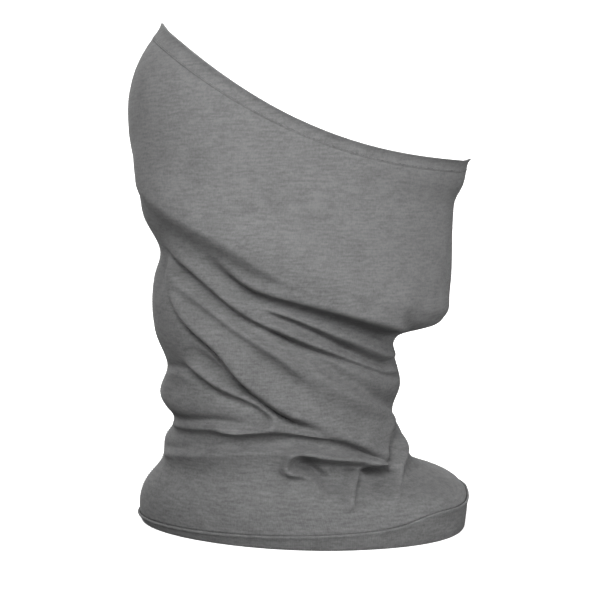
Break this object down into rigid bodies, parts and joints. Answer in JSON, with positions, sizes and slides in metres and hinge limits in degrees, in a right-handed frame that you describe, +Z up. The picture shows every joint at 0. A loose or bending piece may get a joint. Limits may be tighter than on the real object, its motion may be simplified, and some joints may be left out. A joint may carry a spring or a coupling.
{
  "type": "neck gaiter",
  "caption": "Knit neck gaiter in its worn shape: smooth face section with a sloping rim, gathered neck, flared skirt with a hem band.",
  "frame": {"origin": "middle of the object's box, on the plane of the bottom hem's lower edge", "axes": "+Z up along the neck, +X forwards towards the nose, +Y towards the wearer's left"},
  "size_m": [0.2229, 0.1642, 0.326],
  "materials": {
    "knit": "heather grey jersey knit, matt, fine mottling",
    "knit_hem": "heather grey jersey knit, turned edge",
    "thread": "grey sewing thread"
  },
  "bodies": {
    "neck_wrap": {"neck_section": "knit", "bottom_hem": "knit_hem", "bottom_hem_overlock": "thread", "back_seam_lower": "thread"},
    "face_cover": {"face_section": "knit", "top_hem": "knit_hem", "top_hem_stitching": "thread", "back_seam_upper": "thread"}
  },
  "joints": [
    {"name": "pull_down", "type": "slide", "parent": "neck_wrap", "child": "face_cover", "axis": [0, 0, -1], "range_m": [0, 0.08]}
  ]
}
